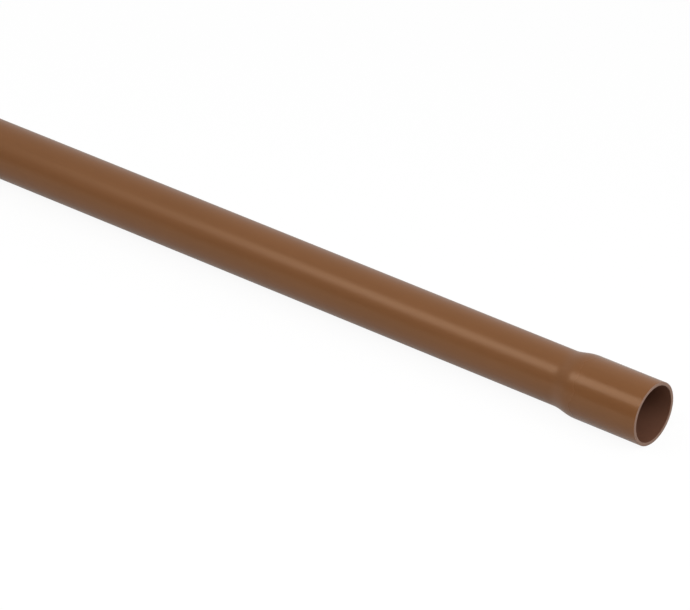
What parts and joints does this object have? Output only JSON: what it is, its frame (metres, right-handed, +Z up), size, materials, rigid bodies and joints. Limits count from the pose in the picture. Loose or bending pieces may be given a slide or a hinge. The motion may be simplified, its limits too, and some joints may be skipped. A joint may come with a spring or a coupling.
{
  "type": "pvc pipe",
  "caption": "Rigid PVC pressure pipe, a long plain tube with a formed socket on one end that takes the next length's plain end.",
  "frame": {"origin": "centre of the socket's mouth, on the pipe's axis", "axes": "+X along the pipe, out of the socket's mouth; +Z up as the pipe lies; the barrel runs along -X to its plain end"},
  "size_m": [3, 0.0282, 0.0284],
  "materials": {
    "pvc": "satin brown, smooth as extruded"
  },
  "bodies": {
    "root": {"pipe": "pvc"}
  },
  "joints": []
}
